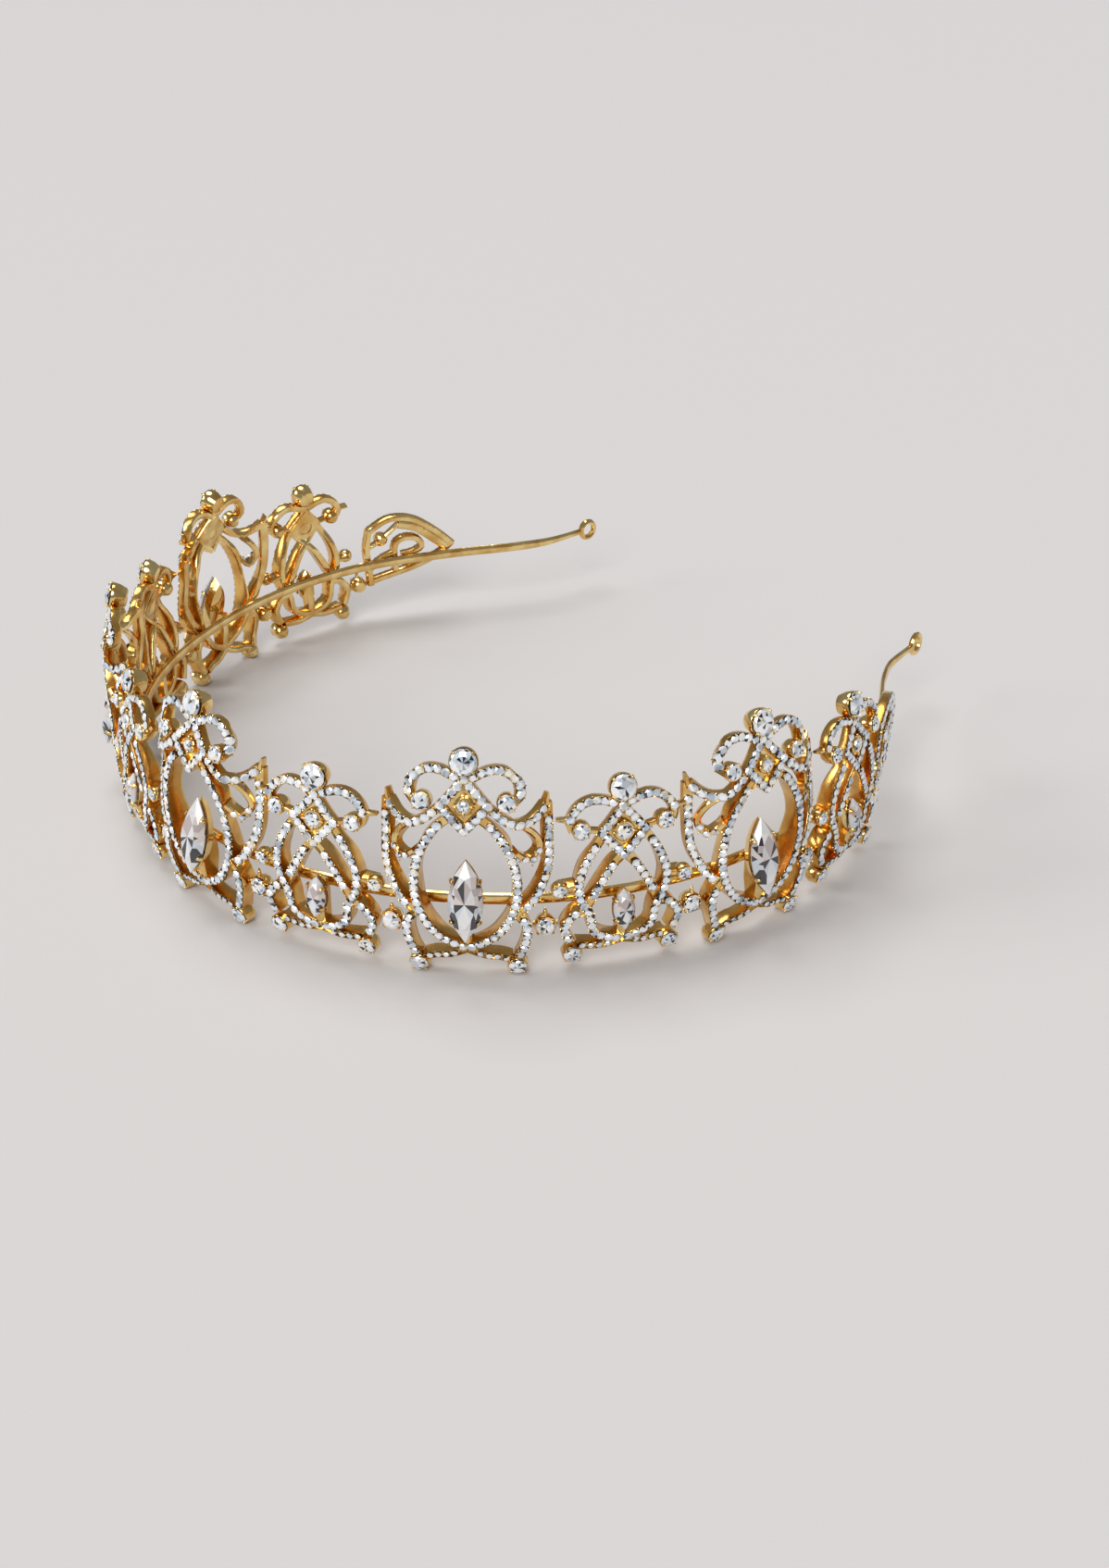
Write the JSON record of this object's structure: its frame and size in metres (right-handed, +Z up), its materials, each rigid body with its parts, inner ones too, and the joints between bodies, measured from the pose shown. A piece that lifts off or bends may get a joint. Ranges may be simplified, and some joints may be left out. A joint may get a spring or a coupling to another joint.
{
  "type": "bridal tiara",
  "caption": "Gilt bridal tiara: an open springy headband with crested openwork castings, marquise crystals and round chatons round its front.",
  "frame": {"origin": "under the middle of the whole piece's box, on the board it stands on", "axes": "+Z up, -Y to the front of the head, +X to the wearer's left as it is worn facing -Y"},
  "size_m": [0.152, 0.152, 0.0413],
  "materials": {
    "gilt_band": "polished gilt strip",
    "gilt_casting": "polished gilt casting, set with small round stones",
    "gilt_setting": "polished gilt cup and claws",
    "marquise_crystal": "clear faceted glass, foil-backed",
    "chaton": "clear faceted glass in a gilt cup"
  },
  "bodies": {
    "root": {"end_leaf_L": "gilt_casting", "end_leaf_R": "gilt_casting", "headband": "gilt_band", "large_crystal_C": "marquise_crystal", "large_crystal_L2": "marquise_crystal", "large_crystal_L4": "marquise_crystal", "large_crystal_R2": "marquise_crystal", "large_crystal_R4": "marquise_crystal", "large_crystal_setting_C": "gilt_setting", "large_crystal_setting_L2": "gilt_setting", "large_crystal_setting_L4": "gilt_setting", "large_crystal_setting_R2": "gilt_setting", "large_crystal_setting_R4": "gilt_setting", "link_chaton_L1": "chaton", "link_chaton_L2": "chaton", "link_chaton_L3": "chaton", "link_chaton_L4": "chaton", "link_chaton_L5": "chaton", "link_chaton_L6": "chaton", "link_chaton_R1": "chaton", "link_chaton_R2": "chaton", "link_chaton_R3": "chaton", "link_chaton_R4": "chaton", "link_chaton_R5": "chaton", "link_chaton_R6": "chaton", "short_motif_L1": "gilt_casting", "short_motif_L3": "gilt_casting", "short_motif_L5": "gilt_casting", "short_motif_R1": "gilt_casting", "short_motif_R3": "gilt_casting", "short_motif_R5": "gilt_casting", "small_crystal_L1": "marquise_crystal", "small_crystal_L3": "marquise_crystal", "small_crystal_L5": "marquise_crystal", "small_crystal_R1": "marquise_crystal", "small_crystal_R3": "marquise_crystal", "small_crystal_R5": "marquise_crystal", "small_crystal_setting_L1": "gilt_setting", "small_crystal_setting_L3": "gilt_setting", "small_crystal_setting_L5": "gilt_setting", "small_crystal_setting_R1": "gilt_setting", "small_crystal_setting_R3": "gilt_setting", "small_crystal_setting_R5": "gilt_setting", "tall_motif_C": "gilt_casting", "tall_motif_L2": "gilt_casting", "tall_motif_L4": "gilt_casting", "tall_motif_R2": "gilt_casting", "tall_motif_R4": "gilt_casting", "top_chaton_C": "chaton", "top_chaton_L1": "chaton", "top_chaton_L2": "chaton", "top_chaton_L3": "chaton", "top_chaton_L4": "chaton", "top_chaton_L5": "chaton", "top_chaton_R1": "chaton", "top_chaton_R2": "chaton", "top_chaton_R3": "chaton", "top_chaton_R4": "chaton", "top_chaton_R5": "chaton"}
  },
  "joints": []
}
